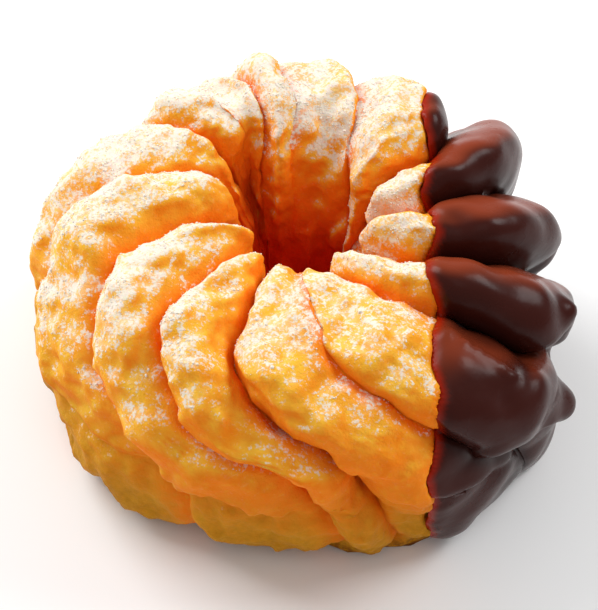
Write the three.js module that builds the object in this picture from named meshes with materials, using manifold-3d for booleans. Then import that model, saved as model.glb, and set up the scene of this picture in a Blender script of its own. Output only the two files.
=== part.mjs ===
// A French cruller: a ring of piped choux dough with fourteen twisted ridges, one side dipped in chocolate.
// Millimetres, +Z up. The ring rests on z = 0 and its axis is the Z axis.

import * as THREE from 'three';
import { mergeVertices } from 'three/addons/utils/BufferGeometryUtils.js';
import Module from 'manifold-3d';

const wasm = await Module();
wasm.setup();

// The plain ring that the ridges are piped on
const RING_RADIUS = 28; // from the axis to the middle of the tube
const TUBE_REACH = 17; // from there to the outer side
const SIDE_LEAN = 0.6; // the +X side reaches this much further, the -X side less
const BACK_TUCK = 0.5; // the +Y side reaches this much less, the -Y side more
const FLAT_SIDE = { at: 130, width: 25, depth: 0.8 }; // a flatter stretch of the outside
const HOLE_RADIUS = 11.5;
const HOLE_SHIFT = { side: 0.9, back: 1.9 }; // how much further the hole reaches towards +X and +Y
const WAIST_HEIGHT = 19; // height of the widest place
const CROWN_RISE = 26.5; // from the waist to the top
const BACK_RISE = 1.4; // the +Y side is this much taller
const FOOT_FLAT = 0.5; // how much of the underside is pressed flat
const OUTER_CROWN_POWER = 2.15; // 2 is round, more is boxier
const OUTER_FOOT_POWER = 3.3;
const INNER_CROWN_POWER = 5.2;
const INNER_CROWN_EASE = 2.7; // the hole's edge is rounder at +Y
const INNER_FOOT_POWER = 3;

// A ridge of the ring. Angles in degrees, lengths in mm.
//   at       where the crease in front of the ridge crosses the crown
//   turnIn   how far the crease turns back on its way into the hole
//   turnOut  how far it turns on, from the crown to the waist
//   step     how far it jumps on where the ridge overhangs the one before it
//   stepAt   the angle round the tube of that jump
//   rise     extra height on the crown
//   reach    extra width above the waist
//   foot     extra width below the waist
//   crease   depth of the crease, as a share of the usual one
//   rim      that share again, on the rim of the hole
//   knob     how far the ridge's end hangs over the hole, or stays back from it
const ridge = (at, turnIn, turnOut, step, stepAt, rise, reach, foot, crease, rim, knob) => (
  { at, turnIn, turnOut, step, stepAt, rise, reach, foot, crease, rim, knob }
);

// The ridges, in order round the ring from +X towards +Y
const RIDGES = [
  ridge(12, 14, 15.1, 0, 30, 0.4, 2.4, -3.5, 1.5, 0.9, 3),
  ridge(33, -10, 27.3, 0, 30, 1.2, -4.9, 0, 2, 0.7, 0.2),
  ridge(69, 14, 23.1, 0, 30, -0.6, -5.4, -1, 0.9, 0.4, -1),
  ridge(92, 0, 20, 0, 30, 2.9, -2.2, 0, 0.5, 0, -1),
  ridge(106, -2, 20, 0, 30, -1.1, -2, 0, 0.9, 0.5, -8),
  ridge(119, 6, 18, 2, 30, 0.1, -4, 0.6, 0.5, 0.1, -7),
  ridge(137, 20, 19, 4, 30, -1, 2.4, 1.8, 1, 0.9, -2),
  ridge(163, 36, 21, 10.1, -8, 0.6, -1.6, -0.1, 1.1, 1, 2.4),
  ridge(195, 22, 29, 13, 22, 0.6, 0, -2.8, 1.1, 1, 4),
  ridge(223, 4, 34, 14, 32, 0.3, -0.8, -0.5, 1, 0.9, 2.2),
  ridge(251, 9, 27.3, 6, 42, 0.3, 1.5, 1.7, 1.5, 1, 1.2),
  ridge(281, 14, 28, 10, 8, 0.2, 4.5, 3.6, 0.9, 0, 1.2),
  ridge(322, 30, 14, 9, 24, 0.6, 1.5, -3.3, 1.5, 0.8, 2.4),
  ridge(346, 16, 18.6, 0, 30, 0.6, 0.6, -3.5, 1.9, 1, 2.2),
];
const RIDGE_PEAK = 0.34; // where the ridge is highest, from its leading crease (0) to the next one (1)
const RIDGE_FULLNESS = 2.1;
const RIDGE_ROUNDNESS = 0.8;
const RIDGE_OVERLAP = 0.1; // a ridge leans over the one before it by this share of its width
const LEANING_SIDE = { ends: 0.5, whole: 0.2 }; // cosines of the angle from +X; upright beyond the first

// How the creases wind from the crown: a full turnOut or turnIn is reached TURN_SPAN degrees down the tube
const TURN_SPAN = 70;
const TURN_START = { out: 0.65, in: 0.6 }; // how much of the turn is even, the rest comes later
const TURN_BELOW = 0.4; // how fast a crease turns on below the waist
const TURN_LIMIT = 1.1; // no crease turns on past this share in the hole
const STEP_WIDTH = 8; // degrees round the tube, to each side of a step

// Crease depths in mm: on the crown, more on the shoulder, less in the hole, on the skirt and underneath
const CREASE = { crown: 5.6, shoulder: 1.6, hole: 5.1, skirt: 2.5, underside: 3.1 };

// Where the ridges' ends hang over the hole or stay back from it, and how scalloped the hanging ends are
const KNOB = { at: 131, width: 20, scallop: 0.6 };
const RECESS = { at: 160, width: 34 };

// The fold above the lower side: its place and band in degrees, its depth, and its least share in the creases
const LIP = { start: 11, slant: 18, band: 3.2, depth: 1.6, least: 0.3, wander: 3, waves: 5 };

// Angles round the tube (0 outside, 90 top, 180 hole side, -90 underside) between which a feature shows:
// it begins at the first, is whole from the second to the third, and is gone at the fourth
const BAND = {
  crown: [40, 80, 120, 150],
  shoulder: [-25, 5, 25, 75],
  aboveWaist: [-10, 20, 35, 70],
  belowWaist: [-88, -60, -8, 18],
  leaning: [-20, 20, 110, 160],
  uneven: [-75, -55, 215, 250],
  winding: [-90, -50, 215, 270],
};

// Angles round the tube over which a change grows from none to whole
const GROWS = { hole: [150, 172], skirt: [5, -22], underside: [-45, -75], rim: [65, 105], lip: [-60, -25] };

// Unevenness of the hand-piped dough: waves round the ring and round the tube, a phase and a height in mm
const WAVES = [
  { ring: 7, tube: 3, phase: 1, height: 0.3 },
  { ring: 11, tube: -5, phase: 2.1, height: 0.26 },
  { ring: 16, tube: 7, phase: 0.7, height: 0.22 },
  { ring: 23, tube: -9, phase: 4.2, height: 0.18 },
];

// The chocolate
const DIP_AT = 21.7; // everything beyond this x is dipped
const DIP_WAVE = { height: 0.9, length: 17, slant: 0.7, shift: 1, fading: 0.6 }; // how its edge wanders
const DIP_BLOCK = { size: 120, steps: 24, sunk: 10 }; // a block larger than the ring, and how fine it is
const COAT_PROUD = 0.6; // the coat stands this much above the dough beside it
const COAT_THICKNESS = 1.3;
const COAT_FILL = 0.12; // the chocolate fills this share of each crease
const COAT_FLOOR = 1; // the coat's underside stays this high
const GAP = 0.65;
const DIP_GAP = 0.3;
const SET_BACK_LAP = 3; // how far the dough under the chocolate runs on into the bare dough

// How finely the ring is faceted: places across a ridge, and angles round the tube in degrees
const ACROSS = [0, 0.06, 0.18, 0.35, 0.54, 0.75, 0.92];
const FOOT_ROWS = [-90, -80, -70, -61, -53, -45, -37, -29, -21];
const LIP_ROWS = [-14, -9, -5, -1, 3, 7, 12, 18];
const CROWN_ROWS = [26, 35, 44, 53, 62, 71, 80, 90, 100, 110, 119, 127, 134, 141, 148, 156, 165];
const HOLE_ROWS = [178, 194, 210, 226, 241, 256];
const ROWS = [...FOOT_ROWS, ...LIP_ROWS, ...CROWN_ROWS, ...HOLE_ROWS];

const radians = THREE.MathUtils.degToRad;

function smooth(from, to, value) {
  const share = Math.min(1, Math.max(0, (value - from) / (to - from)));
  return share * share * (3 - 2 * share);
}

function bell(value, centre, width) {
  return Math.exp(-(((value - centre) / width) ** 2));
}

function within([begins, whole, fades, gone], value) {
  return smooth(begins, whole, value) * smooth(gone, fades, value);
}

// A section of the plain ring: how far out and how high the point at this angle round the tube lies
function plainSection(around, tube) {
  const side = Math.cos(radians(around));
  const back = Math.sin(radians(around));
  const out = Math.cos(radians(tube));
  const up = Math.sin(radians(tube));
  const turned = ((around - FLAT_SIDE.at + 540) % 360) - 180;
  const flattened = FLAT_SIDE.depth * bell(turned, 0, FLAT_SIDE.width);
  const outerReach = TUBE_REACH + SIDE_LEAN * side - BACK_TUCK * back - flattened;
  const innerReach = RING_RADIUS - HOLE_RADIUS - HOLE_SHIFT.side * side - HOLE_SHIFT.back * back;
  const reach = out >= 0 ? outerReach : innerReach;
  const height = up >= 0 ? CROWN_RISE + BACK_RISE * back : WAIST_HEIGHT + FOOT_FLAT;
  const innerPower = up >= 0 ? INNER_CROWN_POWER - INNER_CROWN_EASE * back : INNER_FOOT_POWER;
  const outerPower = up >= 0 ? OUTER_CROWN_POWER : OUTER_FOOT_POWER;
  const power = out >= 0 ? outerPower : innerPower;
  const scale = (Math.abs(out) ** power + Math.abs(up) ** power) ** (-1 / power);
  return { out: reach * out * scale, up: height * up * scale };
}

// Where a ridge's leading crease lies at this angle round the tube
function creaseAngle({ at, turnIn, turnOut, step, stepAt }, tube) {
  const inward = Math.min(TURN_LIMIT, Math.max(0, (tube - 90) / TURN_SPAN));
  const outward = Math.max(0, (90 - tube) / TURN_SPAN);
  const inShare = TURN_START.in * inward + (1 - TURN_START.in) * inward ** 2;
  const aboveShare = TURN_START.out * outward + (1 - TURN_START.out) * outward ** 2;
  const outShare = outward <= 1 ? aboveShare : 1 + TURN_BELOW * (outward - 1);
  const stepped = step * smooth(stepAt + STEP_WIDTH, stepAt - STEP_WIDTH, tube);
  return at + within(BAND.winding, tube) * (turnOut * outShare + stepped - turnIn * inShare);
}

// Height of a ridge across its width, 0 in the creases and 1 on its back
function ridgeHeight(across) {
  const skewed = Math.max(across, 1e-6) ** (Math.log(0.5) / Math.log(RIDGE_PEAK));
  return (1 - Math.abs(2 * skewed - 1) ** RIDGE_FULLNESS) ** RIDGE_ROUNDNESS;
}

// A ridge's own value, meeting its neighbours' halfway
function blended(index, across, key) {
  const count = RIDGES.length;
  const own = RIDGES[index][key];
  const before = RIDGES[(index + count - 1) % count][key];
  const after = RIDGES[(index + 1) % count][key];
  const toBefore = 0.5 * smooth(0.5, 0, across);
  const toAfter = 0.5 * smooth(0.5, 1, across);
  return own + (before - own) * toBefore + (after - own) * toAfter;
}

// The value of the crease in front of a ridge, changing evenly to that of the crease behind it
function ofCreases(index, across, key) {
  const next = RIDGES[(index + 1) % RIDGES.length];
  return RIDGES[index][key] * (1 - across) + next[key] * across;
}

function creaseDepth(index, across, tube) {
  const depth = CREASE.crown
    + CREASE.shoulder * within(BAND.shoulder, tube)
    - CREASE.hole * smooth(...GROWS.hole, tube)
    - CREASE.skirt * smooth(...GROWS.skirt, tube)
    - CREASE.underside * smooth(...GROWS.underside, tube);
  const rim = 1 - (1 - ofCreases(index, across, 'rim')) * smooth(...GROWS.rim, tube);
  return depth * ofCreases(index, across, 'crease') * rim;
}

function unevenness(around, tube) {
  let sum = 0;
  for (const wave of WAVES) {
    sum += wave.height * Math.sin(wave.ring * radians(around) + wave.tube * radians(tube) + wave.phase);
  }
  return sum * within(BAND.uneven, tube);
}

// How far the surface stands out from the plain ring
function relief(index, across, around, tube, creaseShare) {
  const height = ridgeHeight(across);
  const groove = -creaseDepth(index, across, tube) * (1 - height) * creaseShare;
  const swelling = blended(index, across, 'rise') * within(BAND.crown, tube)
    + blended(index, across, 'reach') * within(BAND.aboveWaist, tube)
    + blended(index, across, 'foot') * within(BAND.belowWaist, tube);
  const lipAt = LIP.start - LIP.slant * across + LIP.wander * Math.sin(LIP.waves * radians(around));
  const below = smooth(lipAt + LIP.band, lipAt - LIP.band, tube) * smooth(...GROWS.lip, tube);
  const fold = -LIP.depth * below * (LIP.least + (1 - LIP.least) * height);
  return groove + swelling + fold + unevenness(around, tube);
}

// How far the end of a ridge stands out over the hole, or stays back from it
function overhang(index, across, tube) {
  const scallop = KNOB.scallop * ofCreases(index, across, 'rim');
  const shape = 1 - scallop * (1 - ridgeHeight(across));
  const knob = blended(index, across, 'knob');
  const end = Math.max(knob, 0) * shape * bell(tube, KNOB.at, KNOB.width);
  return end + Math.min(knob, 0) * bell(tube, RECESS.at, RECESS.width);
}

// A point of the surface: across is the place on the ridge, tube the angle round the tube
function surfacePoint(index, across, tube, { proud, creaseShare, floor }) {
  const start = creaseAngle(RIDGES[index], tube);
  const width = (creaseAngle(RIDGES[(index + 1) % RIDGES.length], tube) - start + 360) % 360;
  const around = start + width * across;
  const leaning = smooth(LEANING_SIDE.ends, LEANING_SIDE.whole, Math.cos(radians(around)));
  const lean = RIDGE_OVERLAP * width * leaning * within(BAND.leaning, tube);
  const overlap = lean * ridgeHeight(across) * (1 - across);
  const section = plainSection(around, tube);
  const stand = relief(index, across, around, tube, creaseShare) + proud;
  const radius = RING_RADIUS + section.out + Math.cos(radians(tube)) * stand - overhang(index, across, tube);
  const height = WAIST_HEIGHT + section.up + Math.sin(radians(tube)) * stand;
  const shown = radians(around - overlap);
  return new THREE.Vector3(radius * Math.cos(shown), radius * Math.sin(shown), Math.max(floor, height));
}

// The whole ridged ring as one closed surface
function ringGeometry(skin) {
  const positions = [];
  for (let index = 0; index < RIDGES.length; index += 1) {
    for (const across of ACROSS) {
      for (const tube of ROWS) {
        positions.push(...surfacePoint(index, across, tube, skin).toArray());
      }
    }
  }
  const columns = RIDGES.length * ACROSS.length;
  const rows = ROWS.length;
  const triangles = [];
  for (let column = 0; column < columns; column += 1) {
    const nextColumn = (column + 1) % columns;
    for (let row = 0; row < rows; row += 1) {
      const nextRow = (row + 1) % rows;
      const near = column * rows + row;
      const far = nextColumn * rows + row;
      const nearUp = column * rows + nextRow;
      const farUp = nextColumn * rows + nextRow;
      triangles.push(near, far, farUp, near, farUp, nearUp);
    }
  }
  const geometry = new THREE.BufferGeometry();
  geometry.setAttribute('position', new THREE.Float32BufferAttribute(positions, 3));
  geometry.setIndex(triangles);
  return geometry;
}

// The space beyond the wandering edge of the dip
function dipBlock(start) {
  const { size, steps, sunk } = DIP_BLOCK;
  const geometry = new THREE.BoxGeometry(size, size, size, 1, steps, steps);
  geometry.translate(start + size / 2, 0, size / 2 - sunk);
  const position = geometry.getAttribute('position');
  for (let i = 0; i < position.count; i += 1) {
    if (position.getX(i) < start + size / 2) {
      const along = (2 * Math.PI * position.getY(i)) / DIP_WAVE.length;
      const rising = (2 * Math.PI * position.getZ(i)) / DIP_WAVE.length;
      const wave = Math.sin(along + DIP_WAVE.slant * rising + DIP_WAVE.shift);
      position.setX(i, start + DIP_WAVE.height * wave * Math.cos(DIP_WAVE.fading * rising));
    }
  }
  return geometry;
}

function toSolid(geometry) {
  const bare = geometry.clone();
  bare.deleteAttribute('normal');
  bare.deleteAttribute('uv');
  const merged = mergeVertices(bare, 1e-5);
  const vertProperties = new Float32Array(merged.getAttribute('position').array);
  const triVerts = new Uint32Array(merged.getIndex().array);
  return new wasm.Manifold(new wasm.Mesh({ numProp: 3, vertProperties, triVerts }));
}

function toGeometry(solid) {
  const { vertProperties, triVerts } = solid.getMesh();
  const geometry = new THREE.BufferGeometry();
  geometry.setAttribute('position', new THREE.Float32BufferAttribute(vertProperties, 3));
  geometry.setIndex(Array.from(triVerts));
  geometry.computeVertexNormals();
  return geometry;
}

// The dough: bare on one side, and set back under the chocolate on the other
function doughGeometry() {
  const bare = toSolid(ringGeometry({ proud: 0, creaseShare: 1, floor: 0 }));
  const setBack = toSolid(ringGeometry({
    proud: COAT_PROUD - COAT_THICKNESS - GAP,
    creaseShare: 1,
    floor: COAT_FLOOR + COAT_THICKNESS + GAP,
  }));
  const dipped = setBack.intersect(toSolid(dipBlock(DIP_AT - SET_BACK_LAP)));
  return toGeometry(bare.subtract(toSolid(dipBlock(DIP_AT))).add(dipped));
}

// The chocolate coat: a thin cup over the dipped side, open towards the bare dough
function coatGeometry() {
  const outside = toSolid(ringGeometry({
    proud: COAT_PROUD,
    creaseShare: 1 - COAT_FILL,
    floor: COAT_FLOOR,
  }));
  const inside = toSolid(ringGeometry({
    proud: COAT_PROUD - COAT_THICKNESS,
    creaseShare: 1,
    floor: COAT_FLOOR + COAT_THICKNESS,
  }));
  return toGeometry(outside.intersect(toSolid(dipBlock(DIP_AT + DIP_GAP))).subtract(inside));
}

function doughMaterial() {
  return new THREE.MeshStandardMaterial({ color: 0xd98f3c, roughness: 0.75, metalness: 0 });
}

function chocolateMaterial() {
  return new THREE.MeshStandardMaterial({ color: 0x4a231b, roughness: 0.35, metalness: 0 });
}

function namedMesh(name, geometry, material) {
  const mesh = new THREE.Mesh(geometry, material);
  mesh.name = name;
  return mesh;
}

// The origin goes to the middle of the underside
function centreOnFloor(group) {
  const middle = new THREE.Box3().setFromObject(group).getCenter(new THREE.Vector3());
  group.position.set(-middle.x, -middle.y, 0);
}

const cruller = new THREE.Group();
cruller.add(namedMesh('dough', doughGeometry(), doughMaterial()));
cruller.add(namedMesh('chocolate_coat', coatGeometry(), chocolateMaterial()));
centreOnFloor(cruller);

export default cruller;
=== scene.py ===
"""A French cruller: a ring of twisted choux ridges, dusted with sugar, one side dipped in chocolate."""

import itertools
import math
from collections import namedtuple

import bpy
import numpy as np
from bpy.props import FloatProperty, FloatVectorProperty, IntProperty, PointerProperty
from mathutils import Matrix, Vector


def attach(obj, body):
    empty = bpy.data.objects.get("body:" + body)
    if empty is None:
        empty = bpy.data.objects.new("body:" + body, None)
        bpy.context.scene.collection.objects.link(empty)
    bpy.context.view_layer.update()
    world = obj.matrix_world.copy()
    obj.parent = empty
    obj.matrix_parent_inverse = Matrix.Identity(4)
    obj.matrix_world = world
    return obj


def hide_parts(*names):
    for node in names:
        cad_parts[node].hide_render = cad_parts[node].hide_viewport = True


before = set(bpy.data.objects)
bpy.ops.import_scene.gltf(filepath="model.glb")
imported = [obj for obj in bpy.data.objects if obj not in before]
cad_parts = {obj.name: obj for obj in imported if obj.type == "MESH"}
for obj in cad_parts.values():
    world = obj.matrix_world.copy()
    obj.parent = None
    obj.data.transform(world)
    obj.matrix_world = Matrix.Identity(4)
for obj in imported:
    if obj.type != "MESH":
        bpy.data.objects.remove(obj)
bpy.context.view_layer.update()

bl_info = {
    "name": "Dipped cruller",
    "version": (1, 0, 0),
    "blender": (4, 5, 0),
    "location": "View3D > Sidebar > Cruller",
    "description": "Models a sugared French cruller with one side in chocolate",
    "category": "Add Mesh",
}

MM = 0.001
BODY = "root"

# The ring, in millimetres and degrees. Angles round the tube are 0 on the outside, 90 on top, 180 on the
# hole's side and -90 underneath.
RING_CENTRE = np.array((-0.81, 0.79, 0))
SIDE_LEAN = 0.6
BACK_TUCK = 0.5
FLAT_SIDE = {"at": 130, "width": 25, "depth": 0.8}
HOLE_SHIFT = {"side": 0.9, "back": 1.9}
BACK_RISE = 1.4
FOOT_FLAT = 0.5
OUTER_POWER = {"crown": 2.15, "foot": 3.3}
INNER_POWER = {"crown": 5.2, "ease": 2.7, "foot": 3}

# Ridges in order round the ring. First the leading crease: where it crosses the crown, how far it turns
# into the hole and down the outside, how far it steps aside, and at what angle round the tube. Then the
# ridge: its extra rise, reach and foot, its crease as a share of the usual one, that share on the hole's
# rim, and how far its end hangs over the hole.
Ridge = namedtuple("Ridge", "at turn_in turn_out step step_at rise reach foot crease rim knob")
RIDGES = (
    Ridge(12, 14, 15.1, 0, 30, 0.4, 2.4, -3.5, 1.5, 0.9, 3),
    Ridge(33, -10, 27.3, 0, 30, 1.2, -4.9, 0, 2, 0.7, 0.2),
    Ridge(69, 14, 23.1, 0, 30, -0.6, -5.4, -1, 0.9, 0.4, -1),
    Ridge(92, 0, 20, 0, 30, 2.9, -2.2, 0, 0.5, 0, -1),
    Ridge(106, -2, 20, 0, 30, -1.1, -2, 0, 0.9, 0.5, -8),
    Ridge(119, 6, 18, 2, 30, 0.1, -4, 0.6, 0.5, 0.1, -7),
    Ridge(137, 20, 19, 4, 30, -1, 2.4, 1.8, 1, 0.9, -2),
    Ridge(163, 36, 21, 10.1, -8, 0.6, -1.6, -0.1, 1.1, 1, 2.4),
    Ridge(195, 22, 29, 13, 22, 0.6, 0, -2.8, 1.1, 1, 4),
    Ridge(223, 4, 34, 14, 32, 0.3, -0.8, -0.5, 1, 0.9, 2.2),
    Ridge(251, 9, 27.3, 6, 42, 0.3, 1.5, 1.7, 1.5, 1, 1.2),
    Ridge(281, 14, 28, 10, 8, 0.2, 4.5, 3.6, 0.9, 0, 1.2),
    Ridge(322, 30, 14, 9, 24, 0.6, 1.5, -3.3, 1.5, 0.8, 2.4),
    Ridge(346, 16, 18.6, 0, 30, 0.6, 0.6, -3.5, 1.9, 1, 2.2),
)
RIDGE_PEAK = 0.34
RIDGE_FULLNESS = 2.1
RIDGE_ROUNDNESS = 0.8
TURN = {"span": 70, "start_in": 0.6, "start_out": 0.65, "limit": 1.1, "below": 0.4}
STEP_WIDTH = 8
LEANING_SIDE = {"ends": 0.5, "whole": 0.2}
CREASE = {"shoulder": 1.6, "hole": 5.1, "skirt": 2.5, "underside": 3.1}
KNOB = {"at": 131, "width": 20, "scallop": 0.6}
RECESS = {"at": 160, "width": 34}
LIP = {"start": 11, "slant": 18, "band": 3.2, "depth": 1.6, "least": 0.3, "wander": 3, "waves": 5}
BAND = {
    "crown": (40, 80, 120, 150),
    "shoulder": (-25, 5, 25, 75),
    "above_waist": (-10, 20, 35, 70),
    "below_waist": (-88, -60, -8, 18),
    "leaning": (-20, 20, 110, 160),
    "uneven": (-75, -55, 215, 250),
    "winding": (-90, -50, 215, 270),
    "lively": (-85, -60, 170, 215),
}
# Angles round the tube over which a change grows from none to whole
GROWS = {"hole": (150, 172), "skirt": (5, -22), "underside": (-45, -75), "rim": (65, 105), "lip": (-60, -25)}
Wave = namedtuple("Wave", "ring tube phase height")
WAVES = (
    Wave(7, 3, 1, 0.3),
    Wave(11, -5, 2.1, 0.26),
    Wave(16, 7, 0.7, 0.22),
    Wave(23, -9, 4.2, 0.18),
)

# The mesh: its columns crowd towards each leading crease. Its rows lie evenly along one section of the
# plain ring, but closer at the swells that add and wider at those that take away.
COLUMN_CROWDING = {"even": 0.55, "crowded": 0.45}
SECTION = {"around": 220.0, "samples": 2000}
Swell = namedtuple("Swell", "amount at width")
ROW_CROWDING = (Swell(0.7, 3, 16), Swell(0.3, 145, 25), Swell(-0.45, -70, 30), Swell(-0.45, 250, 30))

# Fine relief of the fried dough, in layers that each have a bump size and a height in millimetres. The
# surface wanders every way, and the lumps stand on it.
WANDER = ((6.0, 0.65), (2.6, 0.3))
LARGE_LUMPS = ((8.0, 0.8), (4.0, 0.5))
FINE_LUMPS = ((2.2, 0.36), (1.2, 0.2))
# The lumps' height in the creases, underneath and low down, and the large ones' height high up, as shares
# of the usual height. The ranges are of the height above the floor, and in the last one the wandering
# sets in.
LUMP_SHARE = {"creases": 0.35, "underneath": 0.3, "low": 1.5, "high": 0.4}
LUMP_RANGE = {"low": (24, 12), "high": (22, 36)}
WANDER_RANGE = (0, 6)

# The chocolate, and the dough set back under it
UNDER_COAT = {"depth": 1.6, "range": (-0.2, 1.0)}
DIP_WAVE = {"height": 0.9, "length": 17, "slant": 0.7, "shift": 1, "fading": 0.6}
DIP_FRAY = ((4.0, 0.5), (1.8, 0.3))
COAT_EDGE = {"sunk": 0.35, "width": 2.5}
COAT_WANDER = ((6.0, 0.4),)
COAT_OFF_FLOOR = {"outside": 0.3, "whole": 0.2}
Knoll = namedtuple("Knoll", "place radius height")
KNOLLS = (
    Knoll((23.7, -24, 41), 1.7, 0.9),
    Knoll((26.4, -25.7, 40.8), 0.95, 0.8),
    Knoll((28.4, -26.5, 39.9), 0.9, 0.8),
    Knoll((30.2, -27.3, 38.9), 0.9, 0.8),
    Knoll((32, -28, 38), 1, 0.9),
    Knoll((34, -28.6, 36.6), 1.1, 0.9),
    Knoll((28, -34, 39), 5, -1.2),
    Knoll((33.5, -32.3, 35.6), 2.6, -0.9),
    Knoll((36.5, -31, 29.5), 3.6, 1.5),
    Knoll((37.8, -26, 31.6), 3, 1.4),
    Knoll((39.5, -28, 24), 3, -0.9),
    Knoll((44.2, -20.6, 20.2), 3.2, 1.8),
    Knoll((43.8, -12.5, 34), 2.2, 2.4),
    Knoll((27, -37, 23), 6, 0.9),
    Knoll((34.5, -33.5, 17), 4, 0.8),
)
COAT_LUMPS = ((9.0, 0.5), (3.4, 0.1))
LIT_FROM = np.array((-0.2, 0.7, 0.7))

# The sugar falls from above, a little from the left and from behind, and in places it drifts another way
SUGAR_FALL = (-0.5, 0.5, 1.0)
Drift = namedtuple("Drift", "around width height by")
SUGAR_DRIFTS = (
    Drift(85, 35, (32, 44), (0.4, -0.7, 0)),
    Drift(10, 40, (24, 38), (-0.2, -1.1, 0)),
)
# How much of it lies: the usual amount, the share of it low down, the middle of its patches, and the
# strays. The swells change it round the ring. The ranges are of how squarely a place faces the fall, of
# its height above the floor, and of how far past the edge of the chocolate it is.
SUGAR_AMOUNT = {"usual": 0.9, "low": 0.1, "patches": 0.95, "strays": 0.06}
SUGAR_SWELLS = (Swell(0.1, 85, 30), Swell(-0.27, 275, 42))
SUGAR_PATCHES = ((9, 0.25), (3.5, 0.3))
SUGAR_RANGE = {"facing": (0.05, 0.92), "height": (10, 35), "strays": (8, 24), "chocolate": (0.4, -0.2)}

# The clumps and the grains, each kind in one mesh: the names of their settings, how finely one is
# divided, how lumpy it is, and the least dusting that they lie on
Kind = namedtuple("Kind", "name count size subdivisions lumps least")
SUGAR_KINDS = (
    Kind("sugar_clumps", "clumps", "clump_size", 2, 0.25, 0.45),
    Kind("sugar_grains", "grains", "grain_size", 1, 0.3, 0.3),
)
SCATTER = {"threads": ((1.6, 0.6), (4, 0.4)), "range": (-0.4, 0.5), "power": 2, "aside": 0.3, "spread": 0.35}
GRAIN = {"shape": (1, 1, 0.8), "lump_size": 0.8, "lift": 0.1}

# Where the dough changes colour: the most of it, and the ranges of what it depends on. Those are the
# ridge's height from 0 to 1, how squarely a place faces the falling sugar, its dusting, its angle round
# the tube and its height above the floor. Most of it is painted shade: deep orange in the grooves and on
# places turned away from the falling sugar, dark red down in the hole, and browner and darker low down.
# The edge of the foot is darker still.
GROOVE_SHADE = {"most": 0.95, "ridge": (0.05, 0.92)}
TURNED_AWAY_SHADE = {"most": 0.75, "facing": (0.55, -0.15), "height": (4, 20)}
HOLE_SHADE = {"tube": (105, 165), "height": (41, 16), "dusting": (0.3, 0)}
LOW_SHADE = {"height": (31, 5), "less_in_groove": 0.5}
FOOT = {"height": (3.5, 0.3)}
# The chocolate changes with the ridge's height, painted shade near black in its hollows, with how squarely
# it faces the light, and with how far past its edge it is
CHOCOLATE_RANGE = {"hollow": (0.9, 0.1), "lit": (0.3, 0.95), "thin": (1.7, 0.1)}

# Noise in the materials: a bump size in millimetres, a detail and a roughness, after its share where
# several are added up
BLOTCHES = {"noise": (4, 4, 0.6), "rises": (0.35, 0.7)}
MOTTLE = {"noise": (1.3, 4, 0.7), "rises": (0.5, 0.7), "most": 0.4}
LOW_SHADE_MOTTLE = {"least": 0.45, "more": 0.8}
FOOT_EDGE_MOTTLE = {"rises": (0.35, 0.6)}
LACE = {
    "layers": ((0.2, 1.9, 2, 0.5), (0.45, 0.85, 2, 0.6), (0.35, 0.45, 2, 0.6)),
    "by_dusting": 0.17, "rises": (0.55, 0.67), "dusted": (0.02, 0.3), "most": 0.9,
}
HAZE = {"noise": (1.3, 3, 0.6), "by_noise": 0.4, "by_dusting": 0.8, "rises": (0.4, 1.0), "most": 0.4}
CRUMB = {
    "layers": ((0.6, 1.1, 4, 0.65), (0.4, 0.4, 3, 0.5)),
    "share": 0.9, "sugar": 0.1, "height": 0.45, "strength": 0.9,
}
DOUGH_ROUGHNESS = {"bare": 0.55, "sugar": 0.35}
CLOUDS = {"noise": (9, 3, 0.5), "roughness": (0.18, 0.2)}
RIPPLES = {"layers": ((0.7, 5, 2, 0.5), (0.3, 1.4, 2, 0.5)), "height": 0.2, "strength": 0.6}
# The most of the painted shade in the chocolate's hollows
HOLLOW_SHADE_MOST = 0.8
GRAIN_TONE = {"noise": (0.5, 2, 0.5), "darkest": 0.94}

# The stage, in metres
FLOOR = {"size": 4, "place": (0, 0, -0.0001)}
Light = namedtuple("Light", "name place size setting")
LIGHTS = (
    Light("key", (-0.42, 0.32, 0.45), 0.45, "key"),
    Light("front", (0.12, -0.34, 0.7), 0.4, "fill"),
    Light("side", (0.42, 0.12, 0.42), 0.25, "side"),
)
CAMERA_TARGET = (-0.0003, 0.0001, 0.0215)

# The seed of each noise. Its further layers have the next ones.
SEED = {
    "large_lumps": 20,
    "fine_lumps": 22,
    "coat_lumps": 25,
    "sugar_patches": 31,
    "sugar_threads": 41,
    "dip_fray": 50,
    "wander": 60,
    "grain": 20,
}
WANDER_SEED_STEP = 10
LATTICE_SHIFT = 0.37


def length(name, description, millimetres):
    """A property that holds a length."""
    return FloatProperty(
        name=name, description=description, default=millimetres * MM, unit="LENGTH", precision=5)


def colour(name, description, value):
    """A property that holds a colour, as linear light."""
    return FloatVectorProperty(
        name=name, description=description, default=value, subtype="COLOR", size=3, min=0, max=1)


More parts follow.
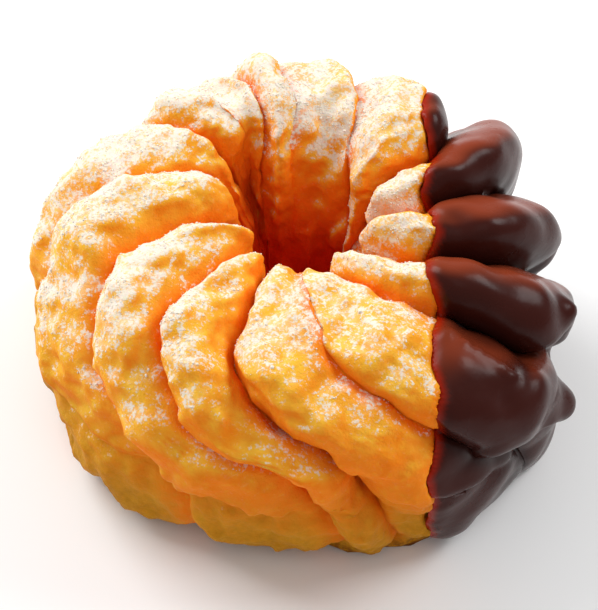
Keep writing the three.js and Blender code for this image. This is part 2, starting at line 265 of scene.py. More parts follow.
class DoughSettings(bpy.types.PropertyGroup):
    """Sizes and colours of the fried dough."""

    ring_radius: length("Ring radius", "From the axis to the middle of the tube", 28)
    tube_reach: length("Tube reach", "From the middle of the tube to the outside", 17)
    hole_radius: length("Hole radius", "Radius of the hole", 11.5)
    waist_height: length("Waist height", "Height of the widest place", 19)
    crown_rise: length("Crown rise", "From the waist to the top", 26.5)
    crease_depth: length("Crease depth", "Depth of the creases on the crown", 5.6)
    overlap: FloatProperty(
        name="Overlap", description="A ridge leans over the one before it by this share of its width",
        default=0.1, min=0, max=0.2, subtype="FACTOR")
    columns: FloatProperty(
        name="Columns", description="Columns of faces for each degree round the ring", default=1.39)
    rows: IntProperty(name="Rows", description="Rows of faces round the tube", default=196, min=24)
    pale: colour("Pale dough", "Dough on the backs of the ridges", (0.94, 0.52, 0.045))
    golden: colour("Golden dough", "Dough on the flanks", (0.92, 0.38, 0.02))
    # Painted shade: deep orange in place of the shade and glow in the creases and on flanks turned away
    deep_shade: colour("Deep dough", "Dough in the creases and on the lower flanks", (0.92, 0.15, 0.001))
    # Darker along the very edge of the foot, next to the floor
    foot_edge: colour("Dark crust", "Crust along the edge of the foot", (0.17, 0.045, 0.006))
    # Painted shade: dark red in place of the shade down in the hole
    hole: colour("Hole", "Dough down in the hole", (0.8, 0.028, 0.002))
    # Painted shade: browner and darker towards the bottom
    browned: colour("Browned dough", "Crust at the foot and underneath", (0.42, 0.17, 0.004))


class ChocolateSettings(bpy.types.PropertyGroup):
    """Sizes and colours of the chocolate."""

    dip: length("Dip", "Everything beyond this place along X is dipped", 21.7)
    proud: length("Proud", "How far the coat stands above the dough beside it", 0.6)
    thickness: length("Thickness", "Thickness of the coat", 1.3)
    fill: FloatProperty(
        name="Fill", description="The chocolate fills this share of each crease", default=0.12, min=0, max=1,
        subtype="FACTOR")
    dark: colour("Chocolate", "The body of the chocolate", (0.04, 0.006, 0.0035))
    warm: colour("Warm chocolate", "Where the light shines into it, high on the ridges", (0.22, 0.035, 0.012))
    # Painted shade: near black down in the creases
    shade_black: colour("Dark chocolate", "Down in the creases", (0.014, 0.003, 0.002))
    thin: colour("Thin chocolate", "Where the coat is thin over the dough", (0.3, 0.012, 0.001))


class SugarSettings(bpy.types.PropertyGroup):
    """Amounts and sizes of the powdered sugar."""

    grains: IntProperty(name="Grains", description="Number of loose grains", default=6500, min=0)
    grain_size: length("Grain size", "Radius of a usual grain", 0.1)
    clumps: IntProperty(name="Clumps", description="Number of clumps", default=150, min=0)
    clump_size: length("Clump size", "Radius of a usual clump", 0.16)
    seed: IntProperty(name="Seed", description="Seed of the scatter", default=7)
    white: colour("Sugar", "Powdered sugar", (0.84, 0.77, 0.67))


class StageSettings(bpy.types.PropertyGroup):
    """Camera, light and floor."""

    elevation: FloatProperty(
        name="Elevation", description="Camera's angle above the floor", default=math.radians(50),
        subtype="ANGLE")
    distance: length("Distance", "From the camera to the cruller", 420)
    lens: FloatProperty(name="Lens", description="Focal length in millimetres", default=145.8)
    key: FloatProperty(name="Key light", description="Power of the large soft light in watts", default=4.5)
    fill: FloatProperty(name="Fill light", description="Power of the front light in watts", default=0.25)
    side: FloatProperty(name="Side light", description="Power of the light at the side in watts", default=1.7)
    sky: FloatProperty(name="Sky", description="Strength of the even light from all round", default=0.47)
    floor: colour("Floor", "Plain pale floor", (0.94, 0.94, 0.94))


# ---------------------------------------------------------------- shape


def smooth(start, end, value):
    """0 up to start, 1 from end on, and smooth between. It falls where start is above end."""
    share = np.clip((value - start) / (end - start), 0, 1)
    return share * share * (3 - 2 * share)


def bell(value, centre, width):
    """1 at the centre, fading to both sides."""
    return np.exp(-(((value - centre) / width) ** 2))


def within(band, value):
    """1 inside a band and 0 outside, with a smooth edge on either side."""
    begins, whole, fades, gone = band
    return smooth(begins, whole, value) * smooth(gone, fades, value)


def between(first, second, share):
    """A value this share of the way from the first to the second."""
    return first + (second - first) * share


def swelled(value, swells, angles):
    """The value at each angle, with every swell added near its own angle."""
    total = np.full(len(angles), float(value))
    for swell in swells:
        total += swell.amount * bell(angles, swell.at, swell.width)
    return total


def lattice_value(cells, seed):
    """A fixed random number from -1 to 1 for each whole-numbered cell."""
    mixed = cells[:, 0] * 73856093 ^ cells[:, 1] * 19349663 ^ cells[:, 2] * 83492791 ^ seed * 6364136
    mixed = (mixed ^ (mixed >> 13)) * 1274126177 & 0x7FFFFFFF
    mixed = (mixed ^ (mixed >> 16)) * 1103515245 & 0x7FFFFFFF
    return mixed / 0x3FFFFFFF - 1


def noise(points, size, seed):
    """Smooth noise from about -1 to 1, with bumps of this size."""
    cells = points / size + LATTICE_SHIFT * seed
    corner = np.floor(cells).astype(np.int64)
    part = cells - corner
    part = part ** 3 * (part * (part * 6 - 15) + 10)
    total = np.zeros(len(points))
    for step in itertools.product((0, 1), repeat=3):
        weight = np.prod(np.where(step, part, 1 - part), axis=1)
        total += weight * lattice_value(corner + step, seed)
    return total


def layered(points, layers, seed, middle=0.0):
    """Layers of noise about a middle value, each given as a bump size and a height."""
    total = np.full(len(points), middle)
    for number, (size, height) in enumerate(layers):
        total += height * noise(points, size, seed + number)
    return total


def plain_section(around, tube, sizes):
    """How far out of the tube's middle and how high above the waist the plain ring lies."""
    side = np.cos(np.radians(around))
    back = np.sin(np.radians(around))
    out = np.cos(np.radians(tube))
    up = np.sin(np.radians(tube))
    turned = (around - FLAT_SIDE["at"] + 540) % 360 - 180
    flattened = FLAT_SIDE["depth"] * bell(turned, 0, FLAT_SIDE["width"])
    outer = sizes.tube_reach / MM + SIDE_LEAN * side - BACK_TUCK * back - flattened
    inner = (sizes.ring_radius - sizes.hole_radius) / MM
    inner = inner - HOLE_SHIFT["side"] * side - HOLE_SHIFT["back"] * back
    reach = np.where(out >= 0, outer, inner)
    crown = sizes.crown_rise / MM + BACK_RISE * back
    height = np.where(up >= 0, crown, sizes.waist_height / MM + FOOT_FLAT)
    inner_power = np.where(up >= 0, INNER_POWER["crown"] - INNER_POWER["ease"] * back, INNER_POWER["foot"])
    outer_power = np.where(up >= 0, OUTER_POWER["crown"], OUTER_POWER["foot"])
    power = np.where(out >= 0, outer_power, inner_power)
    scale = (np.abs(out) ** power + np.abs(up) ** power) ** (-1 / power)
    return reach * out * scale, height * up * scale


def ridge_values(part):
    """One of the numbers of all the ridges."""
    return np.array([getattr(ridge, part) for ridge in RIDGES], float)


def crease_angle(index, tube):
    """Where the leading crease of each ridge lies at this angle round the tube."""
    parts = ("at", "turn_in", "turn_out", "step", "step_at")
    at, turn_in, turn_out, step, step_at = (ridge_values(part)[index] for part in parts)
    inward = np.clip((tube - 90) / TURN["span"], 0, TURN["limit"])
    outward = np.maximum(0, (90 - tube) / TURN["span"])
    in_share = TURN["start_in"] * inward + (1 - TURN["start_in"]) * inward ** 2
    above = TURN["start_out"] * outward + (1 - TURN["start_out"]) * outward ** 2
    out_share = np.where(outward <= 1, above, 1 + TURN["below"] * (outward - 1))
    stepped = step * smooth(step_at + STEP_WIDTH, step_at - STEP_WIDTH, tube)
    return at + within(BAND["winding"], tube) * (turn_out * out_share + stepped - turn_in * in_share)


def ridge_height(across):
    """Height of a ridge across its width, 0 in the creases and 1 on its back."""
    skewed = np.maximum(across, 1e-6) ** (math.log(0.5) / math.log(RIDGE_PEAK))
    return (1 - np.abs(2 * np.minimum(skewed, 1) - 1) ** RIDGE_FULLNESS) ** RIDGE_ROUNDNESS


def blended(index, across, part):
    """A ridge's own value, meeting its neighbours' halfway."""
    values = ridge_values(part)
    own = values[index]
    before = values[(index - 1) % len(RIDGES)]
    after = values[(index + 1) % len(RIDGES)]
    return own + (before - own) * 0.5 * smooth(0.5, 0, across) + (after - own) * 0.5 * smooth(0.5, 1, across)


def of_creases(index, across, part):
    """The value of the crease before a ridge, changing evenly to that of the crease after it."""
    values = ridge_values(part)
    return values[index] * (1 - across) + values[(index + 1) % len(RIDGES)] * across


def crease_depth(index, across, tube, sizes):
    """Depth of the creases beside a ridge."""
    depth = (
        sizes.crease_depth / MM
        + CREASE["shoulder"] * within(BAND["shoulder"], tube)
        - CREASE["hole"] * smooth(*GROWS["hole"], tube)
        - CREASE["skirt"] * smooth(*GROWS["skirt"], tube)
        - CREASE["underside"] * smooth(*GROWS["underside"], tube)
    )
    rim = 1 - (1 - of_creases(index, across, "rim")) * smooth(*GROWS["rim"], tube)
    return depth * of_creases(index, across, "crease") * rim


def relief(place, around, crease_share, sizes):
    """How far the surface stands out from the plain ring."""
    index, across, tube = place.index, place.across, place.tube
    height = ridge_height(across)
    groove = -crease_depth(index, across, tube, sizes) * (1 - height) * crease_share
    swelling = (
        blended(index, across, "rise") * within(BAND["crown"], tube)
        + blended(index, across, "reach") * within(BAND["above_waist"], tube)
        + blended(index, across, "foot") * within(BAND["below_waist"], tube)
    )
    lip_at = LIP["start"] - LIP["slant"] * across + LIP["wander"] * np.sin(LIP["waves"] * np.radians(around))
    below = smooth(lip_at + LIP["band"], lip_at - LIP["band"], tube) * smooth(*GROWS["lip"], tube)
    fold = -LIP["depth"] * below * (LIP["least"] + (1 - LIP["least"]) * height)
    turned, tilted = np.radians(around), np.radians(tube)
    uneven = sum(wave.height * np.sin(wave.ring * turned + wave.tube * tilted + wave.phase) for wave in WAVES)
    return groove + swelling + fold + uneven * within(BAND["uneven"], tube)


def overhang(place):
    """How far the ends of the ridges stand out over the hole, or stay back from it."""
    scallop = KNOB["scallop"] * of_creases(place.index, place.across, "rim")
    shape = 1 - scallop * (1 - ridge_height(place.across))
    knob = blended(place.index, place.across, "knob")
    ends = np.maximum(knob, 0) * shape * bell(place.tube, KNOB["at"], KNOB["width"])
    return ends + np.minimum(knob, 0) * bell(place.tube, RECESS["at"], RECESS["width"])


Place = namedtuple("Place", "index across tube")


def places(sizes):
    """For each vertex of the torus: its ridge, its place across it and its angle round the tube."""
    starts = np.array([ridge.at for ridge in RIDGES] + [RIDGES[0].at + 360])
    counts = 2 * np.round(np.diff(starts) * sizes.columns / 2).astype(int)
    index = np.repeat(np.arange(len(RIDGES)), counts)
    steps = np.concatenate([np.arange(count) / count for count in counts])
    across = COLUMN_CROWDING["even"] * steps + COLUMN_CROWDING["crowded"] * steps ** 2
    fine_tube = np.linspace(-90, 270, SECTION["samples"])
    out, up = plain_section(np.full(SECTION["samples"], SECTION["around"]), fine_tube, sizes)
    closer = swelled(1, ROW_CROWDING, fine_tube)
    travelled = np.concatenate([[0], np.cumsum(np.hypot(np.diff(out), np.diff(up)) * closer[1:])])
    tube = np.interp(np.arange(sizes.rows) / sizes.rows * travelled[-1], travelled, fine_tube)
    return Place(np.repeat(index, sizes.rows), np.repeat(across, sizes.rows), np.tile(tube, len(index)))


def ring_points(place, crease_share, sizes, wander):
    """Points of the ridged ring, with its creases at this share of their depth."""
    start = crease_angle(place.index, place.tube)
    width = (crease_angle((place.index + 1) % len(RIDGES), place.tube) - start + 360) % 360
    around = start + width * place.across
    leaning = smooth(LEANING_SIDE["ends"], LEANING_SIDE["whole"], np.cos(np.radians(around)))
    lean = sizes.overlap * width * leaning * within(BAND["leaning"], place.tube)
    out, up = plain_section(around, place.tube, sizes)
    stand = relief(place, around, crease_share, sizes)
    radius = sizes.ring_radius / MM + out + np.cos(np.radians(place.tube)) * stand - overhang(place)
    height = sizes.waist_height / MM + up + np.sin(np.radians(place.tube)) * stand
    shown = np.radians(around - lean * ridge_height(place.across) * (1 - place.across))
    return wandering(np.column_stack([radius * np.cos(shown), radius * np.sin(shown), height]), wander)


def wandering(points, layers):
    """The points moved a little every way, so that creases and noses run unevenly."""
    shift = [layered(points, layers, SEED["wander"] + WANDER_SEED_STEP * axis) for axis in range(3)]
    return points + np.column_stack(shift) * smooth(*WANDER_RANGE, points[:, 2])[:, None]


def normals_of(points, rows):
    """Outward normals of the points of a ring grid."""
    grid = points.reshape(-1, rows, 3)
    along = np.roll(grid, -1, 0) - np.roll(grid, 1, 0)
    up = np.roll(grid, -1, 1) - np.roll(grid, 1, 1)
    normal = np.cross(along, up).reshape(-1, 3)
    return normal / np.maximum(np.linalg.norm(normal, axis=1), 1e-9)[:, None]


def dip_wave(points):
    """How far the edge of the chocolate wanders, from the place along Y and Z alone."""
    along = 2 * np.pi * points[:, 1] / DIP_WAVE["length"]
    rising = 2 * np.pi * points[:, 2] / DIP_WAVE["length"]
    wave = np.sin(along + DIP_WAVE["slant"] * rising + DIP_WAVE["shift"])
    wave = wave * np.cos(DIP_WAVE["fading"] * rising)
    flat = points * (0, 1, 1)
    return DIP_WAVE["height"] * wave + layered(flat, DIP_FRAY, SEED["dip_fray"])


def past_dip(points, chocolate):
    """How far each point lies past the edge of the chocolate, on its side."""
    return points[:, 0] - chocolate.dip / MM - dip_wave(points)


def angle_round(points):
    """The angle of each point round the ring."""
    return np.degrees(np.arctan2(points[:, 1], points[:, 0]))


def knolls(points):
    """Bulges and dents of the thick chocolate."""
    return sum(k.height * np.exp(-np.sum((points - k.place) ** 2, axis=1) / k.radius ** 2) for k in KNOLLS)


# ---------------------------------------------------------------- meshes


def deselect_all():
    """Leaves nothing selected."""
    for thing in bpy.context.selected_objects:
        thing.select_set(False)


def add_ring(name, points, sizes):
    """A torus split into one vertex for each place on the ring, and moved to these points."""
    columns = len(points) // sizes.rows
    deselect_all()
    bpy.ops.mesh.primitive_torus_add(
        major_segments=columns // 2, minor_segments=sizes.rows // 2,
        major_radius=sizes.ring_radius, minor_radius=sizes.tube_reach)
    made = bpy.context.active_object
    made.name = name
    made.data.name = name
    bpy.ops.object.mode_set(mode="EDIT")
    bpy.ops.mesh.select_all(action="SELECT")
    bpy.ops.mesh.subdivide(number_cuts=1)
    bpy.ops.object.mode_set(mode="OBJECT")
    x, y, z = (get_points(made.data) * MM).T
    column = np.round(np.arctan2(y, x) / (2 * np.pi) * columns).astype(int) % columns
    row = np.round(np.arctan2(z, np.hypot(x, y) - sizes.ring_radius) / (2 * np.pi) * sizes.rows).astype(int)
    order = column * sizes.rows + row % sizes.rows
    set_points(made.data, points[order])
    return made, order


def set_points(mesh, points):
    """Moves the vertices of a mesh to these points in millimetres."""
    mesh.vertices.foreach_set("co", (points * MM).astype(np.float32).ravel())
    mesh.update()


def get_points(mesh):
    """The vertices of a mesh, in millimetres."""
    co = np.empty(len(mesh.vertices) * 3, np.float32)
    mesh.vertices.foreach_get("co", co)
    return co.reshape(-1, 3).astype(float) / MM


def add_values(mesh, name, values):
    """Stores a number for each vertex, for the material to read."""
    made = mesh.attributes.new(name, "FLOAT", "POINT")
    made.data.foreach_set("value", values.astype(np.float32))


def dough_surface(sizes, chocolate):
    """Points of the dough with its fine relief, and what the materials and the sugar need to know of them."""
    place = places(sizes)
    bare = ring_points(place, 1, sizes, WANDER)
    normal = normals_of(bare, sizes.rows)
    on_ridge = between(LUMP_SHARE["creases"], 1, ridge_height(place.across))
    lively = between(LUMP_SHARE["underneath"], 1, within(BAND["lively"], place.tube))
    craggy = between(1, LUMP_SHARE["low"], smooth(*LUMP_RANGE["low"], bare[:, 2]))
    calm = between(1, LUMP_SHARE["high"], smooth(*LUMP_RANGE["high"], bare[:, 2]))
    large = layered(bare, LARGE_LUMPS, SEED["large_lumps"]) * calm
    lumps = (large + layered(bare, FINE_LUMPS, SEED["fine_lumps"])) * (on_ridge * lively * craggy)
    beyond = past_dip(bare, chocolate)
    set_back = -UNDER_COAT["depth"] * smooth(*UNDER_COAT["range"], beyond)
    points = bare + normal * (lumps + set_back)[:, None]
    points[:, 2] = np.maximum(points[:, 2], 0)
    return place, points, normals_of(points, sizes.rows), beyond


def facing_fall(points, normal):
    """How squarely each point faces the falling sugar: 1 straight on, 0 edge on."""
    around = angle_round(points)
    fall = np.tile(SUGAR_FALL, (len(points), 1))
    for drift in SUGAR_DRIFTS:
        share = bell(around, drift.around, drift.width) * smooth(*drift.height, points[:, 2])
        fall += share[:, None] * drift.by
    return np.einsum("ij,ij->i", normal, fall) / np.linalg.norm(fall, axis=1)


def dusting_of(points, normal, beyond):
    """How much sugar lies on each point, from 0 to 1."""
    height = points[:, 2]
    facing = smooth(*SUGAR_RANGE["facing"], facing_fall(points, normal))
    heavy = swelled(SUGAR_AMOUNT["usual"], SUGAR_SWELLS, angle_round(points) % 360)
    high = between(SUGAR_AMOUNT["low"], 1, smooth(*SUGAR_RANGE["height"], height))
    patches = layered(points, SUGAR_PATCHES, SEED["sugar_patches"], SUGAR_AMOUNT["patches"])
    strays = SUGAR_AMOUNT["strays"] * smooth(*SUGAR_RANGE["strays"], height)
    whole = np.clip(np.maximum(facing * heavy * high * patches, strays), 0, 1)
    return whole * smooth(*SUGAR_RANGE["chocolate"], beyond)


# ---------------------------------------------------------------- materials


class Number:
    """A number that varies over a surface, for shader maths written as plain sums."""

    def __init__(self, shader, socket):
        self.shader = shader
        self.socket = socket

    def math(self, operation, first, second):
        return self.shader.node("ShaderNodeMath", {"operation": operation}, {0: first, 1: second})

    def __add__(self, other):
        return self.math("ADD", self, other)

    def __radd__(self, other):
        return self.math("ADD", other, self)

    def __sub__(self, other):
        return self.math("SUBTRACT", self, other)

    def __rsub__(self, other):
        return self.math("SUBTRACT", other, self)

    def __mul__(self, other):
        return self.math("MULTIPLY", self, other)

    def __rmul__(self, other):
        return self.math("MULTIPLY", other, self)

    def rises(self, start, end):
        """0 below start, 1 above end, and smooth between."""
        settings = {"interpolation_type": "SMOOTHSTEP"}
        return self.shader.node("ShaderNodeMapRange", settings, {0: self, 1: start, 2: end, 3: 0.0, 4: 1.0})


class Shader:
    """A material and its nodes."""

    def __init__(self, name):
        self.material = bpy.data.materials.new(name)
        self.material.use_nodes = True
        self.tree = self.material.node_tree
        self.tree.nodes.clear()
        self.place = self.node("ShaderNodeTexCoord", output="Object")

    def node(self, kind, settings=None, inputs=None, output=0):
        """Adds a node: first its settings, then the values or links of its sockets."""
        made = self.tree.nodes.new(kind)
        for name, value in (settings or {}).items():
            setattr(made, name, value)
        for name, value in (inputs or {}).items():
            if isinstance(value, Number):
                self.tree.links.new(value.socket, made.inputs[name])
            else:
                made.inputs[name].default_value = value
        return Number(self, made.outputs[output])

    def stored(self, name):
        """A number kept on the mesh."""
        return self.node("ShaderNodeAttribute", {"attribute_name": name}, output="Fac")

    def noise(self, size, detail, roughness):
        """Noise with bumps of about this size in millimetres."""
        inputs = {"Vector": self.place, "Scale": 1 / (size * MM), "Detail": detail, "Roughness": roughness}
        return self.node("ShaderNodeTexNoise", None, inputs, output="Fac")

    def layers(self, parts):
        """Several noises added up, each with its share."""
        return sum(share * self.noise(*noise) for share, *noise in parts)

    def mix(self, share, first, second):
        """A colour between two colours."""
        colours = [value if isinstance(value, Number) else (*value, 1) for value in (first, second)]
        inputs = {0: share, 6: colours[0], 7: colours[1]}
        return self.node("ShaderNodeMix", {"data_type": "RGBA"}, inputs, output=2)

    def bump(self, height, millimetres, strength):
        """A normal for a surface that rises this much where the height is 1."""
        inputs = {"Strength": strength, "Distance": millimetres * MM, "Height": height}
        return self.node("ShaderNodeBump", None, inputs)

    def finish(self, **inputs):
        """Joins the surface shader to the output."""
        named = {name.replace("_", " "): value for name, value in inputs.items()}
        surface = self.node("ShaderNodeBsdfPrincipled", None, named)
        out = self.tree.nodes.new("ShaderNodeOutputMaterial")
        self.tree.links.new(surface.socket, out.inputs["Surface"])
        return self.material


def dough_material(dough, sugar):
    shader = Shader("fried_dough")
    dusting = shader.stored("dusting")
    blotches = shader.noise(*BLOTCHES["noise"])
    mottle = shader.noise(*MOTTLE["noise"])
    body = shader.mix(blotches.rises(*BLOTCHES["rises"]), dough.pale, dough.golden)
    # Painted shade: deep orange in the grooves and on places turned away from the falling sugar
    body = shader.mix(shader.stored("flank"), body, dough.deep_shade)
    body = shader.mix(mottle.rises(*MOTTLE["rises"]) * MOTTLE["most"], body, dough.golden)
    # Painted shade, browner and darker low down, in patches
    patches = LOW_SHADE_MOTTLE["least"] + LOW_SHADE_MOTTLE["more"] * mottle
    body = shader.mix(shader.stored("browned") * patches, body, dough.browned)
    # Darker in patches along the edge of the foot
    body = shader.mix(shader.stored("foot") * mottle.rises(*FOOT_EDGE_MOTTLE["rises"]), body, dough.foot_edge)
    # Painted shade: dark red down in the hole
    body = shader.mix(shader.stored("in_hole"), body, dough.hole)
    lace = (shader.layers(LACE["layers"]) + dusting * LACE["by_dusting"]).rises(*LACE["rises"])
    cover = lace * dusting.rises(*LACE["dusted"]) * LACE["most"]
    haze = HAZE["by_noise"] * shader.noise(*HAZE["noise"]) + dusting * HAZE["by_dusting"]
    haze = haze.rises(*HAZE["rises"]) * HAZE["most"]
    white = cover + haze - cover * haze
    rough = shader.layers(CRUMB["layers"]) * CRUMB["share"] + cover * CRUMB["sugar"]
    return shader.finish(
        Base_Color=shader.mix(white, body, sugar.white),
        Roughness=DOUGH_ROUGHNESS["bare"] + white * DOUGH_ROUGHNESS["sugar"],
        Normal=shader.bump(rough, CRUMB["height"], CRUMB["strength"]),
        Subsurface_Weight=0.15,
        Subsurface_Radius=(1.0, 0.35, 0.08),
        Subsurface_Scale=0.0012,
        Specular_IOR_Level=0.06,
    )


def chocolate_material(chocolate):
    shader = Shader("chocolate")
    body = shader.mix(shader.stored("lit"), chocolate.dark, chocolate.warm)
    # Painted shade: near black down in the creases
    body = shader.mix(shader.stored("hollow") * HOLLOW_SHADE_MOST, body, chocolate.shade_black)
    body = shader.mix(shader.stored("thin"), body, chocolate.thin)
    least, more = CLOUDS["roughness"]
    return shader.finish(
        Base_Color=body,
        Roughness=least + more * shader.noise(*CLOUDS["noise"]),
        Normal=shader.bump(shader.layers(RIPPLES["layers"]), RIPPLES["height"], RIPPLES["strength"]),
        Specular_IOR_Level=0.125,
    )


def sugar_material(sugar, name):
    shader = Shader(name)
    shaded = tuple(GRAIN_TONE["darkest"] * part for part in sugar.white)
    return shader.finish(
        Base_Color=shader.mix(shader.noise(*GRAIN_TONE["noise"]), shaded, sugar.white),
        Roughness=0.85,
    )


# ---------------------------------------------------------------- operators


class CRULLER_OT_dough(bpy.types.Operator):
    """Models the ring of ridged dough"""

    bl_idname = "cruller.dough"
    bl_label = "Dough"

    def execute(self, context):
        sizes = context.scene.cruller_dough
        place, points, normal, beyond = dough_surface(sizes, context.scene.cruller_chocolate)
        made, order = add_ring("cruller_dough", points + RING_CENTRE, sizes)
        height = points[:, 2]
        dusting = dusting_of(points, normal, beyond)
        # Painted shade in the grooves and on places turned away from the falling sugar
        groove = between(GROOVE_SHADE["most"], 0, smooth(*GROOVE_SHADE["ridge"], ridge_height(place.across)))
        turned_away_shade = TURNED_AWAY_SHADE["most"] * smooth(*TURNED_AWAY_SHADE["facing"], facing_fall(points, normal))
        turned_away_shade *= smooth(*TURNED_AWAY_SHADE["height"], height)
        # Painted shade down in the hole
        in_hole = smooth(*HOLE_SHADE["tube"], place.tube) * smooth(*HOLE_SHADE["height"], height)
        in_hole *= smooth(*HOLE_SHADE["dusting"], dusting)
        looks = {
            "flank": np.maximum(groove, turned_away_shade),
            "in_hole": in_hole,
            # Darker along the edge of the foot
            "foot": smooth(*FOOT["height"], height),
            "dusting": dusting,
            # Painted shade, browner and darker low down
            "browned": smooth(*LOW_SHADE["height"], height) * (1 - LOW_SHADE["less_in_groove"] * groove),
        }
        for name, values in looks.items():
            add_values(made.data, name, values[order])
        made.data.shade_smooth()
        made.data.materials.append(dough_material(sizes, context.scene.cruller_sugar))
        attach(made, BODY)
        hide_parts("dough")
        return {"FINISHED"}


class CRULLER_OT_chocolate(bpy.types.Operator):
    """Models the chocolate coat on the dipped side"""

    bl_idname = "cruller.chocolate"
    bl_label = "Chocolate"

    def execute(self, context):
        sizes = context.scene.cruller_dough
        chocolate = context.scene.cruller_chocolate
        place = places(sizes)
        bare = ring_points(place, 1 - chocolate.fill, sizes, COAT_WANDER)
        swell = np.sqrt(smooth(0, COAT_EDGE["width"], past_dip(bare, chocolate)))
        proud = -COAT_EDGE["sunk"] + (chocolate.proud / MM + COAT_EDGE["sunk"]) * swell
        normal = normals_of(bare, sizes.rows)
        lumps = layered(bare, COAT_LUMPS, SEED["coat_lumps"])
        points = bare + normal * (proud + lumps + knolls(bare))[:, None]
        points[:, 2] = np.maximum(points[:, 2], COAT_OFF_FLOOR["outside"])
        points[:, 0] -= dip_wave(points)
        made, order = add_ring("dipped_chocolate", points, sizes)
        # Painted shade: near black where the ridge is low, in the creases
        hollow = smooth(*CHOCOLATE_RANGE["hollow"], ridge_height(place.across))
        add_values(made.data, "hollow", hollow[order])
        add_values(made.data, "lit", smooth(*CHOCOLATE_RANGE["lit"], normal @ LIT_FROM)[order])
        cut_at_plane(made, chocolate.dip)
        kept = get_points(made.data)
        kept[:, 0] += dip_wave(kept)
        set_points(made.data, kept + RING_CENTRE)
        thicken(made, chocolate.thickness)
        final = get_points(made.data)
        final[:, 2] = np.maximum(final[:, 2], COAT_OFF_FLOOR["whole"])
        set_points(made.data, final)
        past = past_dip(final - RING_CENTRE, chocolate)
        add_values(made.data, "thin", smooth(*CHOCOLATE_RANGE["thin"], past))
        made.data.shade_smooth()
        made.data.materials.append(chocolate_material(chocolate))
        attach(made, BODY)
        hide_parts("chocolate_coat")
        return {"FINISHED"}


def cut_at_plane(thing, place):
    """Cuts away all that lies short of this place along X."""
    deselect_all()
    thing.select_set(True)
    bpy.context.view_layer.objects.active = thing
    bpy.ops.object.mode_set(mode="EDIT")
    bpy.ops.mesh.select_all(action="SELECT")
    bpy.ops.mesh.bisect(plane_co=(place, 0, 0), plane_no=(1, 0, 0), clear_inner=True)
    bpy.ops.object.mode_set(mode="OBJECT")


def thicken(thing, thickness):
    """Gives a shell a wall on its inner side."""
    wall = thing.modifiers.new("wall", "SOLIDIFY")
    wall.thickness = thickness
    wall.offset = -1
    bpy.context.view_layer.objects.active = thing
    bpy.ops.object.modifier_apply(modifier=wall.name)


def grain_mesh(subdivisions, lumps):
    """One grain of about unit size, as points and triangles."""
    deselect_all()
    bpy.ops.mesh.primitive_ico_sphere_add(subdivisions=subdivisions, radius=1)
    made = bpy.context.active_object
    points = get_points(made.data) * MM
    points *= (1 + lumps * noise(points, GRAIN["lump_size"], SEED["grain"]))[:, None]
    corners = np.array([list(face.vertices) for face in made.data.polygons])
    bpy.data.objects.remove(made)
    return points, corners


def turns(random, count):
    """Random rotation matrices."""
    spin = random.normal(size=(count, 4))
    spin /= np.linalg.norm(spin, axis=1)[:, None]
    w, x, y, z = spin.T
    return np.array([
        [1 - 2 * (y * y + z * z), 2 * (x * y - z * w), 2 * (x * z + y * w)],
        [2 * (x * y + z * w), 1 - 2 * (x * x + z * z), 2 * (y * z - x * w)],
        [2 * (x * z - y * w), 2 * (y * z + x * w), 1 - 2 * (x * x + y * y)],
    ]).transpose(2, 0, 1)


def scatter(name, spots, normal, radii, grain, random):
    """Copies a grain to every spot, all in one mesh."""
    shape, corners = grain
    count = len(spots)
    turned = np.einsum("nij,pj->npi", turns(random, count), shape * GRAIN["shape"])
    lift = normal * radii[:, None] * GRAIN["lift"]
    placed = (spots[:, None] + turned * radii[:, None, None] + lift[:, None]).reshape(-1, 3)
    faces = corners[None] + (np.arange(count) * len(shape))[:, None, None]
    mesh = bpy.data.meshes.new(name)
    mesh.from_pydata(((placed + RING_CENTRE) * MM).tolist(), [], faces.reshape(-1, 3).tolist())
    mesh.update()
    mesh.shade_smooth()
    made = bpy.data.objects.new(name, mesh)
    bpy.context.collection.objects.link(made)
    return made


class CRULLER_OT_sugar(bpy.types.Operator):
    """Scatters powdered sugar over the ridges"""

    bl_idname = "cruller.sugar"
    bl_label = "Sugar"

    def execute(self, context):
        sugar = context.scene.cruller_sugar
        sizes = context.scene.cruller_dough
        _, points, normal, beyond = dough_surface(sizes, context.scene.cruller_chocolate)
        dusting = dusting_of(points, normal, beyond)
        grid = points.reshape(-1, sizes.rows, 3)
        along = np.linalg.norm(np.roll(grid, -1, 0) - grid, axis=2).ravel()
        up = np.linalg.norm(np.roll(grid, -1, 1) - grid, axis=2).ravel()
        threads = layered(points, SCATTER["threads"], SEED["sugar_threads"])
        share = along * up * dusting ** SCATTER["power"] * smooth(*SCATTER["range"], threads)
        random = np.random.default_rng(sugar.seed)
        for kind in SUGAR_KINDS:
            count = getattr(sugar, kind.count)
            chance = share * (dusting > kind.least)
            picked = random.choice(len(points), count, p=chance / chance.sum())
            at, facing = points[picked], normal[picked]
            spots = at + random.uniform(-SCATTER["aside"], SCATTER["aside"], (count, 3))
            spots -= facing * (np.einsum("ij,ij->i", spots - at, facing))[:, None]
            radii = getattr(sugar, kind.size) / MM * random.lognormal(0, SCATTER["spread"], count)
            grain = grain_mesh(kind.subdivisions, kind.lumps)
            made = scatter(kind.name, spots, facing, radii, grain, random)
            made.data.materials.append(sugar_material(sugar, kind.name))
            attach(made, BODY)
        return {"FINISHED"}


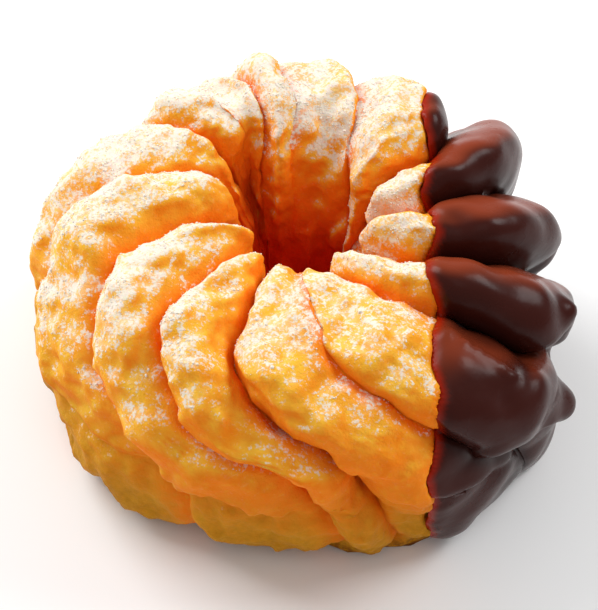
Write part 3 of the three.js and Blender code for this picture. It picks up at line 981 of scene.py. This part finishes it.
class CRULLER_OT_stage(bpy.types.Operator):
    """Sets the floor, the lights and the camera"""

    bl_idname = "cruller.stage"
    bl_label = "Stage"

    def execute(self, context):
        stage = context.scene.cruller_stage
        deselect_all()
        bpy.ops.mesh.primitive_plane_add(size=FLOOR["size"], location=FLOOR["place"])
        floor = context.active_object
        floor.name = "floor"
        shader = Shader("floor")
        floor.data.materials.append(shader.finish(Base_Color=(*stage.floor, 1), Roughness=0.9))
        context.scene.world = bpy.data.worlds.new("soft_light")
        context.scene.world.use_nodes = True
        background = context.scene.world.node_tree.nodes["Background"]
        background.inputs["Color"].default_value = (1, 1, 1, 1)
        background.inputs["Strength"].default_value = stage.sky
        for light in LIGHTS:
            add_light(light, getattr(stage, light.setting))
        add_camera(stage)
        context.scene.view_settings.view_transform = "Standard"
        return {"FINISHED"}


def add_light(light, power):
    """A square soft light that points at the cruller."""
    data = bpy.data.lights.new(light.name, "AREA")
    data.size = light.size
    data.energy = power
    made = bpy.data.objects.new(light.name, data)
    made.location = light.place
    made.rotation_euler = (-Vector(light.place)).to_track_quat("-Z", "Y").to_euler()
    bpy.context.collection.objects.link(made)


def add_camera(stage):
    """A camera in front of the cruller that looks down at it."""
    back = Vector((0, -math.cos(stage.elevation), math.sin(stage.elevation)))
    data = bpy.data.cameras.new("camera")
    data.lens = stage.lens
    camera = bpy.data.objects.new("camera", data)
    camera.location = Vector(CAMERA_TARGET) + back * stage.distance
    camera.rotation_euler = (-back).to_track_quat("-Z", "Y").to_euler()
    bpy.context.collection.objects.link(camera)
    bpy.context.scene.camera = camera


class CRULLER_PT_panel(bpy.types.Panel):
    """Lists the pieces of the cruller"""

    bl_label = "Cruller"
    bl_idname = "CRULLER_PT_panel"
    bl_space_type = "VIEW_3D"
    bl_region_type = "UI"
    bl_category = "Cruller"

    def draw(self, context):
        for settings, operator in STEPS:
            box = self.layout.box()
            group = getattr(context.scene, settings)
            for name in group.__annotations__:
                box.prop(group, name)
            box.operator(operator.bl_idname)


STEPS = (
    ("cruller_dough", CRULLER_OT_dough),
    ("cruller_chocolate", CRULLER_OT_chocolate),
    ("cruller_sugar", CRULLER_OT_sugar),
    ("cruller_stage", CRULLER_OT_stage),
)
SETTINGS = {
    "cruller_dough": DoughSettings,
    "cruller_chocolate": ChocolateSettings,
    "cruller_sugar": SugarSettings,
    "cruller_stage": StageSettings,
}
CLASSES = (*SETTINGS.values(), *(operator for _, operator in STEPS), CRULLER_PT_panel)


def register():
    for item in CLASSES:
        bpy.utils.register_class(item)
    for name, group in SETTINGS.items():
        setattr(bpy.types.Scene, name, PointerProperty(type=group))


def unregister():
    for name in SETTINGS:
        delattr(bpy.types.Scene, name)
    for item in reversed(CLASSES):
        bpy.utils.unregister_class(item)


def main():
    register()
    bpy.ops.cruller.dough()
    bpy.ops.cruller.chocolate()
    bpy.ops.cruller.sugar()
    bpy.ops.cruller.stage()


if __name__ == "__main__":
    main()
